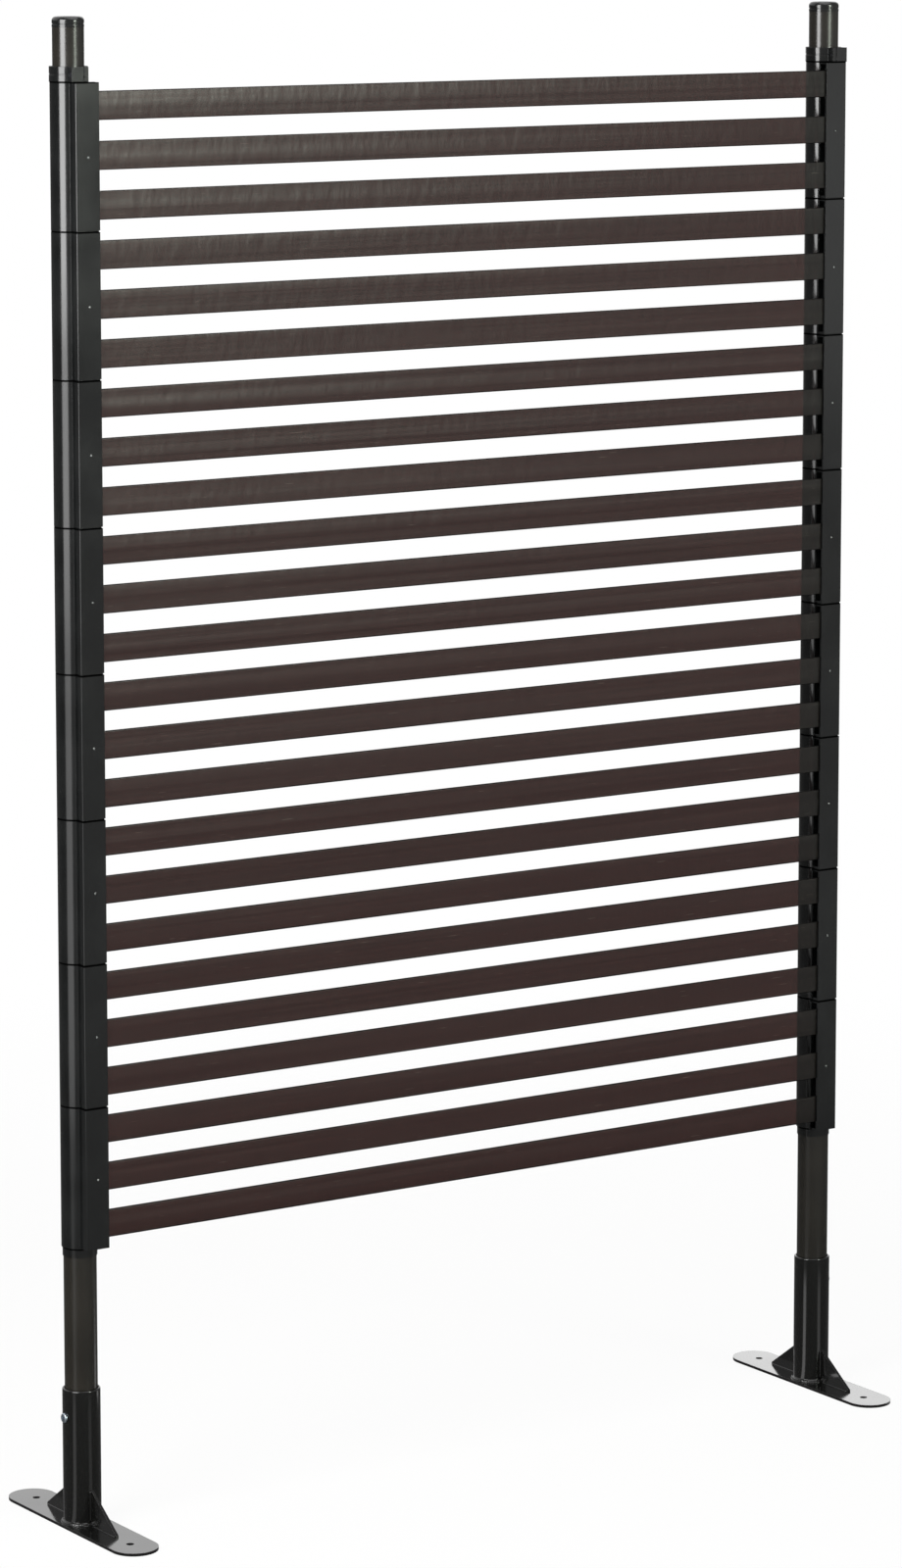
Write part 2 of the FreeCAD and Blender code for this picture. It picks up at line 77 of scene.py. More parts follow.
# Polypropylene, extruded and dyed dark brown: a satin skin with faint draw lines, a slight warp,
# upright chatter marks, dull edges darkened with painted shade and a few pale scuffs. The section
# is a little clear, so white behind it shows as brown and a post behind it shows as a darker
# patch.
slat = {
    "tone": "1A1512", "toneDeep": "120F0D", "toneFrom": 0.12, "toneTo": 0.40, "cloudMm": 140,
    "ior": 1.49, "shine": 0.5, "roughnessLow": 0.28, "roughnessHigh": 0.40,
    "through": "EDB7B4", "throughLow": 0.157, "throughHigh": 0.187,
    # the colour of the narrow edges is painted shade
    "edge": "0A0807", "edgeRoughness": 0.75, "edgeShine": 0.08, "edgeFrom": 0.80, "edgeTo": 0.98,
    "scuff": "6E675F", "scuffFrom": 0.72, "scuffTo": 0.80, "scuffShare": 0.4,
    "scuffMm": (27, 9, 1.125), "scuffTurn": (0, 0.5, 0),
    "drawMm": (900, 3, 3),          # real lines are under 1 mm, drawn this coarse to show
    "drawDepthMm": 0.05, "drawStrength": 0.25,
    "warpMm": (2600, 16, 16), "warpDepthMm": 0.9,
    "chatterMm": (13, 30, 30), "chatterDepthMm": 0.5,
    "pitchMm": 48.0, "firstMm": 311.0, "halfMm": 14.0, "crownMm": 0.22,     # rows and face height
}


def makeSlatPlastic():
    material, tree = newFinish("polypropyleneBrownExtruded")
    place = addNode(tree, "ShaderNodeTexCoord", {}).outputs["Object"]
    drawn = addNode(tree, "ShaderNodeMapping", {
        "Vector": place, "Scale": [perMetre(size) for size in slat["drawMm"]]})
    lines = addNode(tree, "ShaderNodeTexNoise", {
        "Vector": drawn.outputs[0], "Scale": 1.0, "Detail": 3.0})
    cloud = addNode(tree, "ShaderNodeTexNoise", {
        "Vector": place, "Scale": perMetre(slat["cloudMm"]), "Detail": 4.0})
    blend = addNode(tree, "ShaderNodeMath", {
        0: lines.outputs[0], 1: cloud.outputs[0]}, operation="MULTIPLY")
    share = addNode(tree, "ShaderNodeMapRange", {
        0: blend.outputs[0], 1: slat["toneFrom"], 2: slat["toneTo"]})
    tone = addNode(tree, "ShaderNodeMix", {
        0: share.outputs[0], 6: hexToLinear(slat["toneDeep"]), 7: hexToLinear(slat["tone"])},
        data_type="RGBA")
    gloss = addNode(tree, "ShaderNodeMapRange", {
        0: lines.outputs[0], 1: noiseLow, 2: noiseHigh,
        3: slat["roughnessLow"], 4: slat["roughnessHigh"]})

    # scuffs: short slanting ticks, few and faint
    slanted = addNode(tree, "ShaderNodeMapping", {
        "Vector": place, "Rotation": slat["scuffTurn"],
        "Scale": [perMetre(size) for size in slat["scuffMm"]]})
    ticks = addNode(tree, "ShaderNodeTexNoise", {
        "Vector": slanted.outputs[0], "Scale": 1.0, "Detail": 1.0})
    faint = addNode(tree, "ShaderNodeMapRange", {
        0: ticks.outputs[0], 1: slat["scuffFrom"], 2: slat["scuffTo"], 4: slat["scuffShare"]})
    worn = addNode(tree, "ShaderNodeMix", {
        0: faint.outputs[0], 6: tone.outputs[2], 7: hexToLinear(slat["scuff"])}, data_type="RGBA")

    # the narrow edges are duller and darkened with painted shade, and thick along the line of
    # sight, so nothing shows through them
    facing = addNode(tree, "ShaderNodeSeparateXYZ", {
        0: addNode(tree, "ShaderNodeNewGeometry", {}).outputs["True Normal"]})
    broad = addNode(tree, "ShaderNodeMath", {0: facing.outputs["Y"]}, operation="ABSOLUTE")
    flat = addNode(tree, "ShaderNodeMapRange", {
        0: broad.outputs[0], 1: slat["edgeFrom"], 2: slat["edgeTo"]})
    dull = addNode(tree, "ShaderNodeMix", {
        0: flat.outputs[0], 2: slat["edgeRoughness"], 3: gloss.outputs[0]})
    shine = addNode(tree, "ShaderNodeMix", {
        0: flat.outputs[0], 2: slat["edgeShine"], 3: slat["shine"]})
    shadedEdges = addNode(tree, "ShaderNodeMix", {
        0: flat.outputs[0], 6: hexToLinear(slat["edge"]), 7: worn.outputs[2]}, data_type="RGBA")

    # the face is crowned a little, so its upper part shines more than its lower part
    height = addNode(tree, "ShaderNodeSeparateXYZ", {0: place})
    rows = addNode(tree, "ShaderNodeMath", {
        0: height.outputs["Z"], 1: perMetre(slat["pitchMm"]),
        2: -slat["firstMm"] / slat["pitchMm"]}, operation="MULTIPLY_ADD")
    fromMiddle = addNode(tree, "ShaderNodeMath", {
        0: rows.outputs[0], 1: 0.5}, operation="PINGPONG")
    acrossFace = addNode(tree, "ShaderNodeMath", {
        0: fromMiddle.outputs[0], 1: slat["pitchMm"] / slat["halfMm"]}, operation="MULTIPLY")
    sag = addNode(tree, "ShaderNodeMath", {0: acrossFace.outputs[0], 1: 2.0}, operation="POWER")
    crown = addNode(tree, "ShaderNodeBump", {
        "Height": sag.outputs[0], "Strength": 1.0, "Distance": slat["crownMm"] * mm}, invert=True)

    # long warp, then the chatter of the die, soft upright marks that break up the shine, then the
    # draw lines
    bent = addNode(tree, "ShaderNodeMapping", {
        "Vector": place, "Scale": [perMetre(size) for size in slat["warpMm"]]})
    warp = addNode(tree, "ShaderNodeTexNoise", {
        "Vector": bent.outputs[0], "Scale": 1.0, "Detail": 0.0})
    sway = addNode(tree, "ShaderNodeBump", {
        "Height": warp.outputs[0], "Normal": crown.outputs[0], "Strength": 1.0,
        "Distance": slat["warpDepthMm"] * mm})
    shaken = addNode(tree, "ShaderNodeMapping", {
        "Vector": place, "Scale": [perMetre(size) for size in slat["chatterMm"]]})
    chatter = addNode(tree, "ShaderNodeTexNoise", {
        "Vector": shaken.outputs[0], "Scale": 1.0, "Detail": 2.0})
    uneven = addNode(tree, "ShaderNodeBump", {
        "Height": chatter.outputs[0], "Normal": sway.outputs[0], "Strength": 1.0,
        "Distance": slat["chatterDepthMm"] * mm})
    relief = addNode(tree, "ShaderNodeBump", {
        "Height": lines.outputs[0], "Normal": uneven.outputs[0], "Strength": slat["drawStrength"],
        "Distance": slat["drawDepthMm"] * mm})

    skin = addNode(tree, "ShaderNodeBsdfPrincipled", {
        "Base Color": shadedEdges.outputs[2], "Roughness": dull.outputs[0],
        "Normal": relief.outputs[0], "IOR": slat["ior"],
        "Specular IOR Level": shine.outputs[0]})
    clear = addNode(tree, "ShaderNodeBsdfTransparent", {"Color": hexToLinear(slat["through"])})
    clearShare = addNode(tree, "ShaderNodeMapRange", {
        0: lines.outputs[0], 1: noiseLow, 2: noiseHigh,
        3: slat["throughLow"], 4: slat["throughHigh"]})
    seen = addNode(tree, "ShaderNodeMath", {
        0: clearShare.outputs[0], 1: flat.outputs[0]}, operation="MULTIPLY")
    shader = addNode(tree, "ShaderNodeMixShader", {
        0: seen.outputs[0], 1: skin.outputs[0], 2: clear.outputs[0]})
    addNode(tree, "ShaderNodeOutputMaterial", {"Surface": shader.outputs[0]})
    return material


# the stack of bracket modules, in mm
stack = {"bottom": 285.5, "pitch": 144.0, "count": 8}

# ABS, moulded and dyed black: a satin skin with a fine spark-eroded grain, greyer where hands and
# packing rubbed it, and painted shade, dark and without shine, in the seams between the modules.
bracket = {
    "tone": "0B0C0C", "toneRubbed": "151616", "rubMm": 60, "rubFrom": 0.42, "rubTo": 0.72,
    "ior": 1.54, "shine": 0.5, "roughnessLow": 0.14, "roughnessHigh": 0.19,
    # the seams' painted shade: its colour, and how far it reaches from a module's end
    "seamShade": "050505", "seamMm": 0.7, "seamFadeMm": 1.12,
    "grainMm": 1.4,                 # the real grain is about 0.3 mm, drawn this coarse to show
    "grainDepthMm": 0.03, "grainStrength": 0.025, "edgeMm": 0.5,
}


def makeBracketPlastic():
    material, tree = newFinish("absBlackMoulded")
    place = addNode(tree, "ShaderNodeTexCoord", {}).outputs["Object"]
    grain = addNode(tree, "ShaderNodeTexNoise", {
        "Vector": place, "Scale": perMetre(bracket["grainMm"]), "Detail": 2.0})
    rubbed = addNode(tree, "ShaderNodeTexNoise", {
        "Vector": place, "Scale": perMetre(bracket["rubMm"]), "Detail": 5.0})
    share = addNode(tree, "ShaderNodeMapRange", {
        0: rubbed.outputs[0], 1: bracket["rubFrom"], 2: bracket["rubTo"]})
    tone = addNode(tree, "ShaderNodeMix", {
        0: share.outputs[0], 6: hexToLinear(bracket["tone"]),
        7: hexToLinear(bracket["toneRubbed"])}, data_type="RGBA")
    gloss = addNode(tree, "ShaderNodeMapRange", {
        0: rubbed.outputs[0], 1: noiseLow, 2: noiseHigh,
        3: bracket["roughnessLow"], 4: bracket["roughnessHigh"]})

    # painted shade in the seams, by the height above or below the nearest end of a module
    height = addNode(tree, "ShaderNodeSeparateXYZ", {0: place})
    modules = addNode(tree, "ShaderNodeMath", {
        0: height.outputs["Z"], 1: perMetre(stack["pitch"]),
        2: -stack["bottom"] / stack["pitch"]}, operation="MULTIPLY_ADD")
    toSeam = addNode(tree, "ShaderNodeMath", {
        0: modules.outputs[0], 1: 0.5}, operation="PINGPONG")
    inSeam = addNode(tree, "ShaderNodeMapRange", {
        0: toSeam.outputs[0], 1: bracket["seamMm"] / stack["pitch"],
        2: bracket["seamFadeMm"] / stack["pitch"], 3: 1.0, 4: 0.0})
    seamShaded = addNode(tree, "ShaderNodeMix", {
        0: inSeam.outputs[0], 6: tone.outputs[2], 7: hexToLinear(bracket["seamShade"])},
        data_type="RGBA")
    shine = addNode(tree, "ShaderNodeMix", {0: inSeam.outputs[0], 2: bracket["shine"], 3: 0.0})

    edge = addNode(tree, "ShaderNodeBevel", {"Radius": bracket["edgeMm"] * mm}, samples=4)
    relief = addNode(tree, "ShaderNodeBump", {
        "Height": grain.outputs[0], "Normal": edge.outputs[0],
        "Strength": bracket["grainStrength"], "Distance": bracket["grainDepthMm"] * mm})
    shader = addNode(tree, "ShaderNodeBsdfPrincipled", {
        "Base Color": seamShaded.outputs[2], "Roughness": gloss.outputs[0],
        "Normal": relief.outputs[0], "IOR": bracket["ior"],
        "Specular IOR Level": shine.outputs[0]})
    addNode(tree, "ShaderNodeOutputMaterial", {"Surface": shader.outputs[0]})
    return material


# Powder coat on steel tube, baked: umber black, satin, with a slight orange peel that softens the
# highlight's edge.
post = {
    "tone": "1F1C17", "toneDeep": "181612", "toneFrom": 0.35, "toneTo": 0.65, "cloudMm": 90,
    "ior": 1.60, "roughnessLow": 0.205, "roughnessHigh": 0.255,
    "peelMm": 2.4, "peelDepthMm": 0.03, "peelStrength": 0.025,
}


def makePostCoat():
    material, tree = newFinish("powderCoatUmberSatin")
    place = addNode(tree, "ShaderNodeTexCoord", {}).outputs["Object"]
    peel = addNode(tree, "ShaderNodeTexNoise", {
        "Vector": place, "Scale": perMetre(post["peelMm"]), "Detail": 1.0})
    cloud = addNode(tree, "ShaderNodeTexNoise", {
        "Vector": place, "Scale": perMetre(post["cloudMm"]), "Detail": 4.0})
    share = addNode(tree, "ShaderNodeMapRange", {
        0: cloud.outputs[0], 1: post["toneFrom"], 2: post["toneTo"]})
    tone = addNode(tree, "ShaderNodeMix", {
        0: share.outputs[0], 6: hexToLinear(post["toneDeep"]), 7: hexToLinear(post["tone"])},
        data_type="RGBA")
    gloss = addNode(tree, "ShaderNodeMapRange", {
        0: cloud.outputs[0], 1: noiseLow, 2: noiseHigh,
        3: post["roughnessLow"], 4: post["roughnessHigh"]})
    relief = addNode(tree, "ShaderNodeBump", {
        "Height": peel.outputs[0], "Strength": post["peelStrength"],
        "Distance": post["peelDepthMm"] * mm})
    shader = addNode(tree, "ShaderNodeBsdfPrincipled", {
        "Base Color": tone.outputs[2], "Roughness": gloss.outputs[0],
        "Normal": relief.outputs[0], "IOR": post["ior"]})
    addNode(tree, "ShaderNodeOutputMaterial", {"Surface": shader.outputs[0]})
    return material


# Enamel sprayed on welded steel: deep gloss black that mirrors the studio, with orange peel and a
# little dust.
foot = {
    "tone": "0E0E0D", "ior": 1.55, "roughnessLow": 0.105, "roughnessHigh": 0.155, "cloudMm": 45,
    "dust": "24231F", "dustMm": 1.6, "dustFrom": 0.66, "dustTo": 0.80, "dustShare": 0.3,
    "peelMm": 5.0, "peelDepthMm": 0.03, "peelStrength": 0.15, "edgeMm": 0.6,
}


def makeFootEnamel():
    material, tree = newFinish("enamelBlackGloss")
    place = addNode(tree, "ShaderNodeTexCoord", {}).outputs["Object"]
    peel = addNode(tree, "ShaderNodeTexNoise", {
        "Vector": place, "Scale": perMetre(foot["peelMm"]), "Detail": 1.0})
    cloud = addNode(tree, "ShaderNodeTexNoise", {
        "Vector": place, "Scale": perMetre(foot["cloudMm"]), "Detail": 4.0})
    specks = addNode(tree, "ShaderNodeTexNoise", {
        "Vector": place, "Scale": perMetre(foot["dustMm"]), "Detail": 2.0})
    dusty = addNode(tree, "ShaderNodeMapRange", {
        0: specks.outputs[0], 1: foot["dustFrom"], 2: foot["dustTo"], 4: foot["dustShare"]})
    tone = addNode(tree, "ShaderNodeMix", {
        0: dusty.outputs[0], 6: hexToLinear(foot["tone"]), 7: hexToLinear(foot["dust"])},
        data_type="RGBA")
    gloss = addNode(tree, "ShaderNodeMapRange", {
        0: cloud.outputs[0], 1: noiseLow, 2: noiseHigh,
        3: foot["roughnessLow"], 4: foot["roughnessHigh"]})
    edge = addNode(tree, "ShaderNodeBevel", {"Radius": foot["edgeMm"] * mm}, samples=4)
    relief = addNode(tree, "ShaderNodeBump", {
        "Height": peel.outputs[0], "Normal": edge.outputs[0], "Strength": foot["peelStrength"],
        "Distance": foot["peelDepthMm"] * mm})
    shader = addNode(tree, "ShaderNodeBsdfPrincipled", {
        "Base Color": tone.outputs[2], "Roughness": gloss.outputs[0],
        "Normal": relief.outputs[0], "IOR": foot["ior"]})
    addNode(tree, "ShaderNodeOutputMaterial", {"Surface": shader.outputs[0]})
    return material


# Zinc-plated steel, bright passivated: a bluish white metal, a little cloudy from the bath.
zinc = {
    "tone": "C9D2DA", "toneDull": "9FAAB4", "cloudMm": 2.5,
    "metallic": 1.0, "roughnessLow": 0.29, "roughnessHigh": 0.43,
}


def makeScrewZinc():
    material, tree = newFinish("zincPlatedSteelBright")
    place = addNode(tree, "ShaderNodeTexCoord", {}).outputs["Object"]
    cloud = addNode(tree, "ShaderNodeTexNoise", {
        "Vector": place, "Scale": perMetre(zinc["cloudMm"]), "Detail": 3.0})
    tone = addNode(tree, "ShaderNodeMix", {
        0: cloud.outputs[0], 6: hexToLinear(zinc["toneDull"]), 7: hexToLinear(zinc["tone"])},
        data_type="RGBA")
    gloss = addNode(tree, "ShaderNodeMapRange", {
        0: cloud.outputs[0], 1: noiseLow, 2: noiseHigh,
        3: zinc["roughnessLow"], 4: zinc["roughnessHigh"]})
    shader = addNode(tree, "ShaderNodeBsdfPrincipled", {
        "Base Color": tone.outputs[2], "Roughness": gloss.outputs[0],
        "Metallic": zinc["metallic"]})
    addNode(tree, "ShaderNodeOutputMaterial", {"Surface": shader.outputs[0]})
    return material


# Steel with a black oxide: near black, dull, worn to a clouded grey.
oxide = {
    "tone": "1C1C1E", "toneWorn": "35343A", "cloudMm": 2.5,
    "metallic": 0.6, "roughnessLow": 0.36, "roughnessHigh": 0.48,
}


def makeScrewOxide():
    material, tree = newFinish("blackOxideSteel")
    place = addNode(tree, "ShaderNodeTexCoord", {}).outputs["Object"]
    cloud = addNode(tree, "ShaderNodeTexNoise", {
        "Vector": place, "Scale": perMetre(oxide["cloudMm"]), "Detail": 3.0})
    tone = addNode(tree, "ShaderNodeMix", {
        0: cloud.outputs[0], 6: hexToLinear(oxide["tone"]), 7: hexToLinear(oxide["toneWorn"])},
        data_type="RGBA")
    gloss = addNode(tree, "ShaderNodeMapRange", {
        0: cloud.outputs[0], 1: noiseLow, 2: noiseHigh,
        3: oxide["roughnessLow"], 4: oxide["roughnessHigh"]})
    shader = addNode(tree, "ShaderNodeBsdfPrincipled", {
        "Base Color": tone.outputs[2], "Roughness": gloss.outputs[0],
        "Metallic": oxide["metallic"]})
    addNode(tree, "ShaderNodeOutputMaterial", {"Surface": shader.outputs[0]})
    return material


# ABS torn off at the mould's gate: the black is whitened in flecks, partly real stress whitening
# and partly a painted highlight of the torn tip, so that each nub shows as a light dot.
torn = {
    # the fleck colour is partly stress whitening and partly a painted highlight on the torn tip
    "tone": "171818", "fleckAndGlint": "BCBEBE", "fleckMm": 0.7, "fleckFrom": 0.42, "fleckTo": 0.62,
    "ior": 1.54, "roughness": 0.45,
}


def makeTornPlastic():
    material, tree = newFinish("absBlackTorn")
    place = addNode(tree, "ShaderNodeTexCoord", {}).outputs["Object"]
    flecks = addNode(tree, "ShaderNodeTexNoise", {
        "Vector": place, "Scale": perMetre(torn["fleckMm"]), "Detail": 3.0})
    share = addNode(tree, "ShaderNodeMapRange", {
        0: flecks.outputs[0], 1: torn["fleckFrom"], 2: torn["fleckTo"]})
    tone = addNode(tree, "ShaderNodeMix", {
        0: share.outputs[0], 6: hexToLinear(torn["tone"]), 7: hexToLinear(torn["fleckAndGlint"])},
        data_type="RGBA")
    shader = addNode(tree, "ShaderNodeBsdfPrincipled", {
        "Base Color": tone.outputs[2], "Roughness": torn["roughness"], "IOR": torn["ior"]})
    addNode(tree, "ShaderNodeOutputMaterial", {"Surface": shader.outputs[0]})
    return material


finishes = {
    "slat_plastic": makeSlatPlastic(), "bracket_plastic": makeBracketPlastic(),
    "post_paint": makePostCoat(), "foot_paint": makeFootEnamel(),
    "zinc_steel": makeScrewZinc(), "black_steel": makeScrewOxide(),
}
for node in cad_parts.values():
    for holder in node.material_slots:
        holder.material = finishes[holder.material.name]
print("finishes on,", len(finishes), "materials")


def addPiece(name, grid, body, slotName):
    mesh = bpy.data.meshes.new(name)
    grid.to_mesh(mesh)
    grid.free()
    mesh.shade_smooth()
    mesh.materials.append(finishes[slotName])
    piece = bpy.data.objects.new(name, mesh)
    bpy.context.scene.collection.objects.link(piece)
    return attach(piece, body)


# Weld beads on the feet: a ring round the socket and seams along the gussets, each a row of
# overlapping ripples. Sizes in mm.
weld = {
    "socketRadius": 19.05, "plateTop": 3.0,
    "gussetHalf": 1.5, "gussetSnipe": 5.0, "gussetEnd": 47.0, "gussetTop": 35.0,
    "ringRadius": 1.8, "ringOut": 0.7, "seamRadius": 1.1, "seamOut": 0.2,
    "ripple": 2.6, "rippleShare": 0.14, "tipShare": 0.3, "step": 0.45, "sides": 10,
}


# sweeps a round section along points in mm, thinner towards the end of each ripple; an open bead
# tapers at its ends
def sweepBead(grid, points, radius, closed):
    rings = []
    for i, point in enumerate(points):
        ahead = points[(i + 1) % len(points)] if closed or i + 1 < len(points) else point
        behind = points[i - 1] if closed or i else point
        run = (ahead - behind).normalized()
        lying = abs(run.z) < 0.9
        across = run.cross(Vector((0, 0, 1) if lying else (1, 0, 0))).normalized()
        over = across.cross(run)
        ripple = (i * weld["step"] / weld["ripple"]) % 1
        size = radius * (1 - weld["rippleShare"] * ripple)
        if not closed and i in (0, len(points) - 1):
            size *= weld["tipShare"]
        ring = []
        for k in range(weld["sides"]):
            angle = 2 * math.pi * k / weld["sides"]
            spoke = math.cos(angle) * across + math.sin(angle) * over
            ring.append(grid.verts.new((point + size * spoke) * mm))
        rings.append(ring)
    pairs = list(zip(rings, rings[1:])) + ([(rings[-1], rings[0])] if closed else [])
    for first, second in pairs:
        for k in range(weld["sides"]):
            grid.faces.new((first[k - 1], first[k], second[k], second[k - 1]))
    if not closed:
        grid.faces.new(rings[0])
        grid.faces.new(reversed(rings[-1]))


def straightLine(start, end):
    start, end = Vector(start), Vector(end)
    count = max(2, round((end - start).length / weld["step"]))
    return [start.lerp(end, i / count) for i in range(count + 1)]


def makeWelds(side, sign):
    grid = bmesh.new()
    postX, top, out = sign * postAxis, weld["plateTop"], weld["seamOut"]
    reach = weld["socketRadius"] + weld["ringOut"]
    turns = round(2 * math.pi * reach / weld["step"])
    ring = []
    for i in range(turns):
        angle = 2 * math.pi * i / turns
        ring.append(Vector((postX + reach * math.cos(angle), reach * math.sin(angle),
                            top + weld["ringOut"])))
    sweepBead(grid, ring, weld["ringRadius"], True)
    for face in (-1, 1):
        for end in (-1, 1):
            # one seam along the plate, one up the socket
            x = postX + face * (weld["gussetHalf"] + out)
            heel = end * (weld["socketRadius"] + weld["gussetSnipe"])
            toe = end * (weld["socketRadius"] + weld["gussetEnd"])
            level = top + out
            along = straightLine((x, heel, level), (x, toe, level))
            sweepBead(grid, along, weld["seamRadius"], False)
            y = end * (weld["socketRadius"] + out)
            low, high = top + weld["gussetSnipe"], top + weld["gussetTop"]
            sweepBead(grid, straightLine((x, y, low), (x, y, high)), weld["seamRadius"], False)
    bmesh.ops.recalc_face_normals(grid, faces=grid.faces)
    addPiece(f"weldBeads_{side}", grid, f"{side}_foot", "foot_paint")


# Gate nubs: the stub that the moulding's gate leaves in the dimple on the front of each bracket
# module. Sizes in mm.
nub = {
    "floor": -28.2, "inset": 5.0, "sides": 18, "tear": 0.05, "tearFrom": 0.2,
    # radius and height, from the foot to the torn tip
    "profile": ((1.10, -0.05), (1.00, 0.10), (0.80, 0.26),
                (0.62, 0.34), (0.40, 0.31), (0.18, 0.24)),
}


def makeNubs():
    grid = bmesh.new()
    for sign in sides.values():
        for n in range(stack["count"]):
            centre = Vector((sign * (postAxis - nub["inset"]), nub["floor"],
                             stack["bottom"] + (n + 0.5) * stack["pitch"]))
            rings = []
            for radius, height in nub["profile"]:
                ring = []
                for k in range(nub["sides"]):
                    angle = 2 * math.pi * k / nub["sides"]
                    rag = nub["tear"] * math.sin(2 * angle + n) * (height > nub["tearFrom"])
                    point = Vector((radius * math.cos(angle), -height - rag,
                                    radius * math.sin(angle)))
                    ring.append(grid.verts.new((centre + point) * mm))
                rings.append(ring)
            for lower, upper in zip(rings, rings[1:]):
                for k in range(nub["sides"]):
                    grid.faces.new((lower[k - 1], lower[k], upper[k], upper[k - 1]))
            grid.faces.new(rings[0])
            grid.faces.new(rings[-1])
    bmesh.ops.recalc_face_normals(grid, faces=grid.faces)
    piece = addPiece("gateNubs", grid, "panel", "bracket_plastic")
    piece.data.materials[0] = makeTornPlastic()


# Seam pads: the flat boss on the end of each box that the next module seats on, set back so that
# the seam is a groove. Sizes in mm.
pad = {
    "outer": 8.7, "inner": 17.2, "front": 28.6, "back": 18.9, "setBack": 0.9,
    "gap": 1.5, "slack": 0.02, "corner": 1.0, "cornerSteps": 5,
}


def makePads():
    grid = bmesh.new()
    reach, slack = pad["corner"], pad["slack"]
    low, high = -(pad["outer"] - pad["setBack"]), pad["inner"] - pad["setBack"]
    front, back = -(pad["front"] - pad["setBack"]), -pad["back"]
    outline = [(high, back), (low, back)]
    for k in range(pad["cornerSteps"] + 1):
        angle = math.pi / 2 * k / pad["cornerSteps"]
        outline.append((low + reach - reach * math.cos(angle),
                        front + reach - reach * math.sin(angle)))
    outline.append((high, front))
    for sign in sides.values():
        for n in range(1, stack["count"]):
            base = stack["bottom"] + n * stack["pitch"]
            under, over = [
                [grid.verts.new(Vector((sign * (postAxis - x), y, z)) * mm) for x, y in outline]
                for z in (base + slack, base + pad["gap"] - slack)]
            for k in range(len(outline)):
                grid.faces.new((under[k - 1], under[k], over[k], over[k - 1]))
            grid.faces.new(under)
            grid.faces.new(over)
    bmesh.ops.recalc_face_normals(grid, faces=grid.faces)
    piece = addPiece("seamPads", grid, "panel", "bracket_plastic")
    piece.data.shade_flat()


for side, sign in sides.items():
    makeWelds(side, sign)
makeNubs()
makePads()
print("weld beads, gate nubs and seam pads made")


# Studio: a softbox on the left with two dim ones under it, one high at the front right with a dim
# low one further round, one overhead, two low ones behind that the plates mirror, and a pale floor
# without end.
studio = {
    "lamps": {
        "softboxLeft": {
            "place": (-1.95, -0.55, 1.75), "aim": (-0.3, 0.0, 1.1), "size": (1.1, 1.5),
            "watts": 54},
        "softboxLeftMid": {
            "place": (-1.95, -0.55, 0.86), "aim": (-0.3, 0.0, 0.8), "size": (1.1, 0.34),
            "watts": 4.6},
        "softboxLeftLow": {
            "place": (-1.95, -0.55, 0.36), "aim": (-0.3, 0.0, 0.4), "size": (1.1, 0.64),
            "watts": 3.8},
        "softboxFront": {
            "place": (1.35, -4.5, 2.1), "aim": (0.0, 0.0, 1.0), "size": (1.3, 1.2),
            "watts": 112, "tone": "F6FFF1"},
        "softboxFrontRight": {
            "place": (3.96, -4.5, 0.95), "aim": (0.3, 0.0, 1.2), "size": (1.1, 0.9),
            "watts": 1.6},
        "softboxTop": {
            "place": (0.2, -0.6, 3.6), "aim": (0.0, 0.0, 0.0), "size": (2.4, 2.4),
            "watts": 32},
        "softboxBehindLeft": {
            "place": (1.04, 2.6, 0.95), "aim": (-0.46, 0.0, 0.0), "size": (1.3, 0.9),
            "watts": 2.4},
        "softboxBehindRight": {
            "place": (2.3, 2.4, 0.87), "aim": (0.46, 0.0, 0.0), "size": (1.2, 0.9),
            "watts": 6.2},
    },
    # thin light strips on the floor that the sockets and posts mirror: foot, direction, near end,
    # far end, level
    "strips": (
        ("left", (-0.958, -0.288), 0.03, 0.46, 0.80), ("left", (0.339, -0.941), 0.03, 0.46, 0.45),
        ("left", (-0.958, -0.288), 0.46, 0.90, 0.45), ("left", (-0.958, -0.288), 0.90, 1.50, 0.60),
        ("right", (-0.988, -0.154), 0.03, 0.46, 1.70),
        ("right", (0.207, -0.978), 0.03, 0.46, 0.85)),
    "stripSpread": 0.16, "stripLift": 0.0015,
    "fill": 0.22, "fillTone": "F4F6F8",
    "floorTone": "E9E8E6", "floorReach": 90.0, "floorCells": 8,
    # share of the room's white that comes up through the floor: near the object a little less, so
    # that its shadow shows
    "whiteNear": 0.94, "nearReach": 0.9, "farReach": 2.4,
    # how bright the floor and the room are in reflections, and where one fades into the other
    "mirrorFront": 0.37, "mirrorBehind": 0.13, "floorFade": (-1.9, -0.2), "roomFade": (-0.3, 0.1),
    "backdropFade": (0.2, 0.5), "backdropRise": (0.03, 0.18),
}


def makeLamps():
    for name, lamp in studio["lamps"].items():
        light = bpy.data.lights.new(name, "AREA")
        light.shape = "RECTANGLE"
        light.size, light.size_y = lamp["size"]
        light.energy = lamp["watts"]
        light.color = hexToLinear(lamp.get("tone", "FFFFFF"))[:3]
        beam = Vector(lamp["aim"]) - Vector(lamp["place"])
        holder = bpy.data.objects.new(name, light)
        holder.location = lamp["place"]
        holder.rotation_euler = beam.to_track_quat("-Z", "Y").to_euler()
        holder.visible_camera = False
        bpy.context.scene.collection.objects.link(holder)


# the rays that see the background: straight or through a clear piece, and mirrored
def seesBackground(tree):
    path = addNode(tree, "ShaderNodeLightPath", {}).outputs
    direct = addNode(tree, "ShaderNodeMath", {
        0: path["Is Camera Ray"], 1: path["Is Transmission Ray"]}, operation="MAXIMUM")
    return direct.outputs[0], path["Is Glossy Ray"]


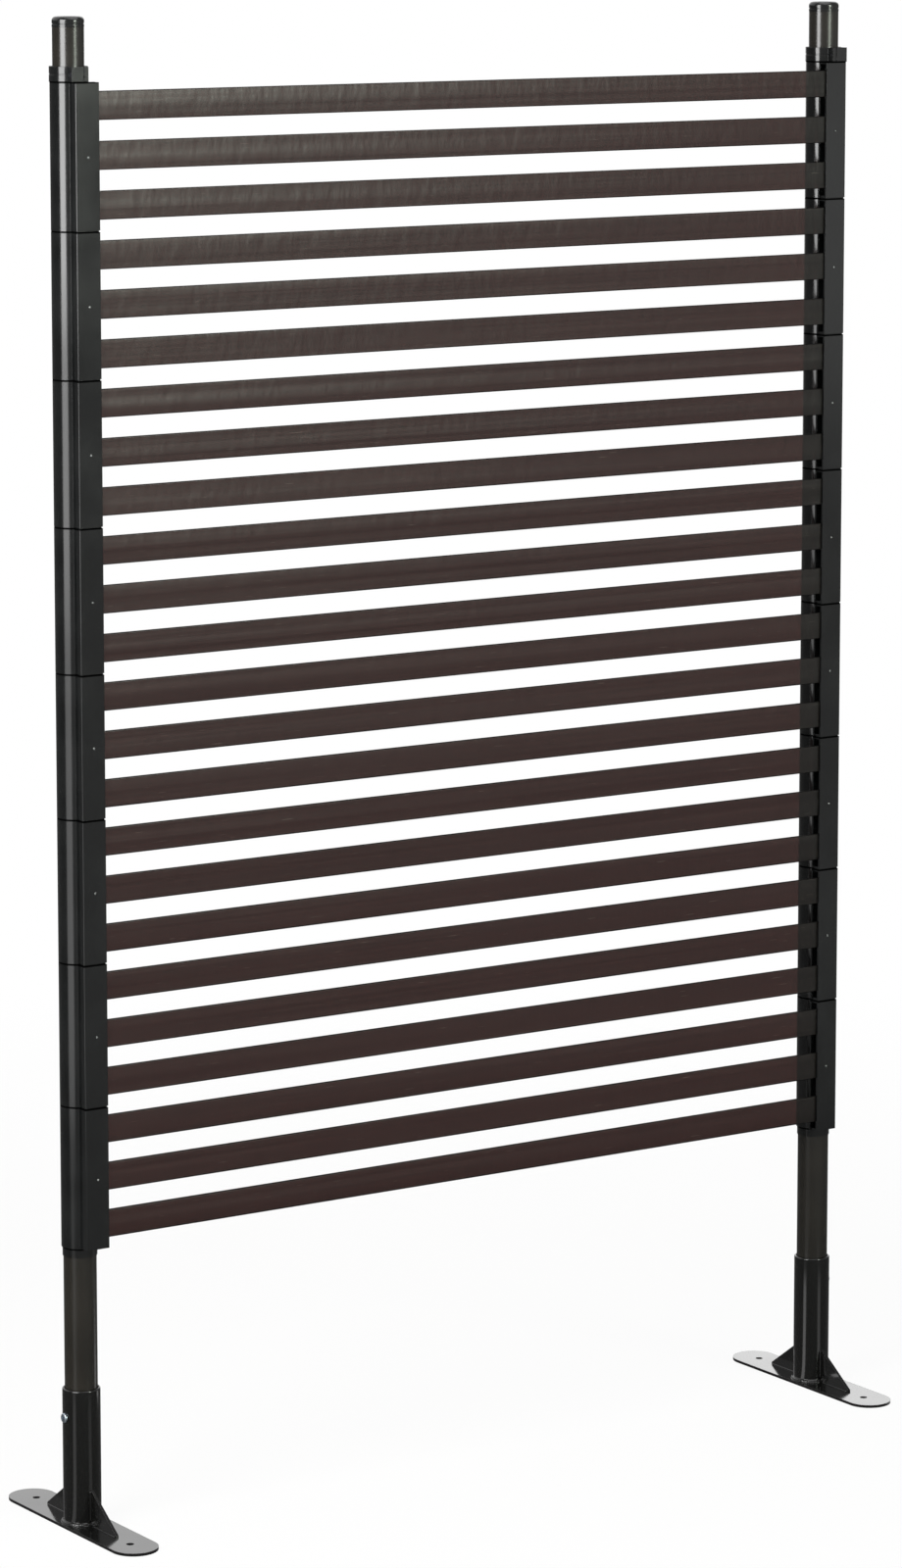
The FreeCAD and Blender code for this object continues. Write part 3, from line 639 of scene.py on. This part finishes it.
# a flat piece of the stage
def addStage(name, grid, material):
    mesh = bpy.data.meshes.new(name)
    grid.to_mesh(mesh)
    grid.free()
    mesh.materials.append(material)
    piece = bpy.data.objects.new(name, mesh)
    bpy.context.scene.collection.objects.link(piece)
    return piece


def makeFloor():
    material, tree = newFinish("paperSweepPale")
    direct, mirrored = seesBackground(tree)
    spot = addNode(tree, "ShaderNodeNewGeometry", {}).outputs
    away = addNode(tree, "ShaderNodeVectorMath", {0: spot["Position"]}, operation="LENGTH")
    white = addNode(tree, "ShaderNodeMapRange", {
        0: away.outputs["Value"], 1: studio["nearReach"], 2: studio["farReach"],
        3: studio["whiteNear"], 4: 1.0})
    depth = addNode(tree, "ShaderNodeSeparateXYZ", {0: spot["Position"]})
    fade = addNode(tree, "ShaderNodeMapRange", {
        0: depth.outputs["Y"], 1: studio["floorFade"][0], 2: studio["floorFade"][1],
        3: studio["mirrorFront"], 4: studio["mirrorBehind"]})
    paper = addNode(tree, "ShaderNodeBsdfDiffuse", {"Color": hexToLinear(studio["floorTone"])})
    glow = addNode(tree, "ShaderNodeEmission", {"Strength": fade.outputs[0]})
    # the white of the room comes up through the paper, and a foot that is slid down still shows
    # below it
    clear = addNode(tree, "ShaderNodeBsdfTransparent", {})
    seen = addNode(tree, "ShaderNodeMath", {0: direct, 1: white.outputs[0]}, operation="MULTIPLY")
    above = addNode(tree, "ShaderNodeMixShader", {
        0: seen.outputs[0], 1: paper.outputs[0], 2: clear.outputs[0]})
    lit = addNode(tree, "ShaderNodeMixShader", {
        0: mirrored, 1: above.outputs[0], 2: glow.outputs[0]})
    mixed = addNode(tree, "ShaderNodeMixShader", {
        0: spot["Backfacing"], 1: lit.outputs[0], 2: clear.outputs[0]})
    addNode(tree, "ShaderNodeOutputMaterial", {"Surface": mixed.outputs[0]})
    grid = bmesh.new()
    cells = studio["floorCells"]
    bmesh.ops.create_grid(grid, x_segments=cells, y_segments=cells, size=studio["floorReach"])
    floor = addStage("floor", grid, material)


def makeStrips():
    for i, (side, (x, y), near, far, level) in enumerate(studio["strips"]):
        material, tree = newFinish(f"lampDiffuser_{i + 1}")
        light = addNode(tree, "ShaderNodeEmission", {"Strength": level})
        addNode(tree, "ShaderNodeOutputMaterial", {"Surface": light.outputs[0]})
        grid = bmesh.new()
        corners = []
        for reach, turn in ((near, -1), (near, 1), (far, 1), (far, -1)):
            spread = turn * reach * studio["stripSpread"]
            corners.append(grid.verts.new((
                sides[side] * postAxis * mm + reach * x - spread * y, reach * y + spread * x,
                studio["stripLift"])))
        grid.faces.new(corners)
        strip = addStage(f"lightStrip_{i + 1}", grid, material)
        # only reflections see it
        strip.visible_camera = strip.visible_diffuse = False
        strip.visible_shadow = strip.visible_transmission = False


def makeRoom():
    world = bpy.data.worlds.new("room")
    world.use_nodes = True
    tree = world.node_tree
    tree.nodes.clear()
    direct, mirrored = seesBackground(tree)
    ray = addNode(tree, "ShaderNodeTexCoord", {})
    depth = addNode(tree, "ShaderNodeSeparateXYZ", {0: ray.outputs["Generated"]})
    fade = addNode(tree, "ShaderNodeMapRange", {
        0: depth.outputs["Y"], 1: studio["roomFade"][0], 2: studio["roomFade"][1],
        3: studio["mirrorFront"], 4: studio["mirrorBehind"]})
    # a white backdrop behind the object, above the floor's far edge
    behind = addNode(tree, "ShaderNodeMapRange", {
        0: depth.outputs["Y"], 1: studio["backdropFade"][0], 2: studio["backdropFade"][1]})
    raised = addNode(tree, "ShaderNodeMapRange", {
        0: depth.outputs["Z"], 1: studio["backdropRise"][0], 2: studio["backdropRise"][1]})
    backdrop = addNode(tree, "ShaderNodeMath", {
        0: behind.outputs[0], 1: raised.outputs[0]}, operation="MULTIPLY")
    brighter = addNode(tree, "ShaderNodeMath", {
        0: fade.outputs[0], 1: backdrop.outputs[0]}, operation="MAXIMUM")
    level = addNode(tree, "ShaderNodeMath", {
        0: brighter.outputs[0], 1: direct}, operation="MAXIMUM")
    either = addNode(tree, "ShaderNodeMath", {0: direct, 1: mirrored}, operation="MAXIMUM")
    white = addNode(tree, "ShaderNodeBackground", {
        "Color": hexToLinear("FFFFFF"), "Strength": level.outputs[0]})
    fill = addNode(tree, "ShaderNodeBackground", {
        "Color": hexToLinear(studio["fillTone"]), "Strength": studio["fill"]})
    mixed = addNode(tree, "ShaderNodeMixShader", {
        0: either.outputs[0], 1: fill.outputs[0], 2: white.outputs[0]})
    addNode(tree, "ShaderNodeOutputWorld", {"Surface": mixed.outputs[0]})
    bpy.context.scene.world = world


makeLamps()
makeFloor()
makeStrips()
makeRoom()
print("studio set")


# Camera: to the left and a little above, long lens, fitted to the slat lines and the posts.
view = {
    "place": (-3.1047, -4.5706, 1.6576), "turnDeg": 34.058, "tiltDeg": 8.117,
    "lensMm": 124.95, "sensorMm": 36, "shiftY": -0.10, "farM": 400,
}


def makeCamera():
    camera = bpy.data.cameras.new("camera")
    camera.sensor_width = view["sensorMm"]
    camera.lens = view["lensMm"]
    camera.shift_y = view["shiftY"]
    camera.clip_end = view["farM"]
    turn, tilt = math.radians(view["turnDeg"]), math.radians(view["tiltDeg"])
    ahead = Vector((math.cos(tilt) * math.sin(turn), math.cos(tilt) * math.cos(turn),
                    -math.sin(tilt)))
    holder = bpy.data.objects.new("camera", camera)
    holder.location = view["place"]
    holder.rotation_euler = ahead.to_track_quat("-Z", "Y").to_euler()
    bpy.context.scene.collection.objects.link(holder)
    bpy.context.scene.camera = holder


makeCamera()
bpy.context.scene.view_settings.view_transform = "Standard"
print("camera set")
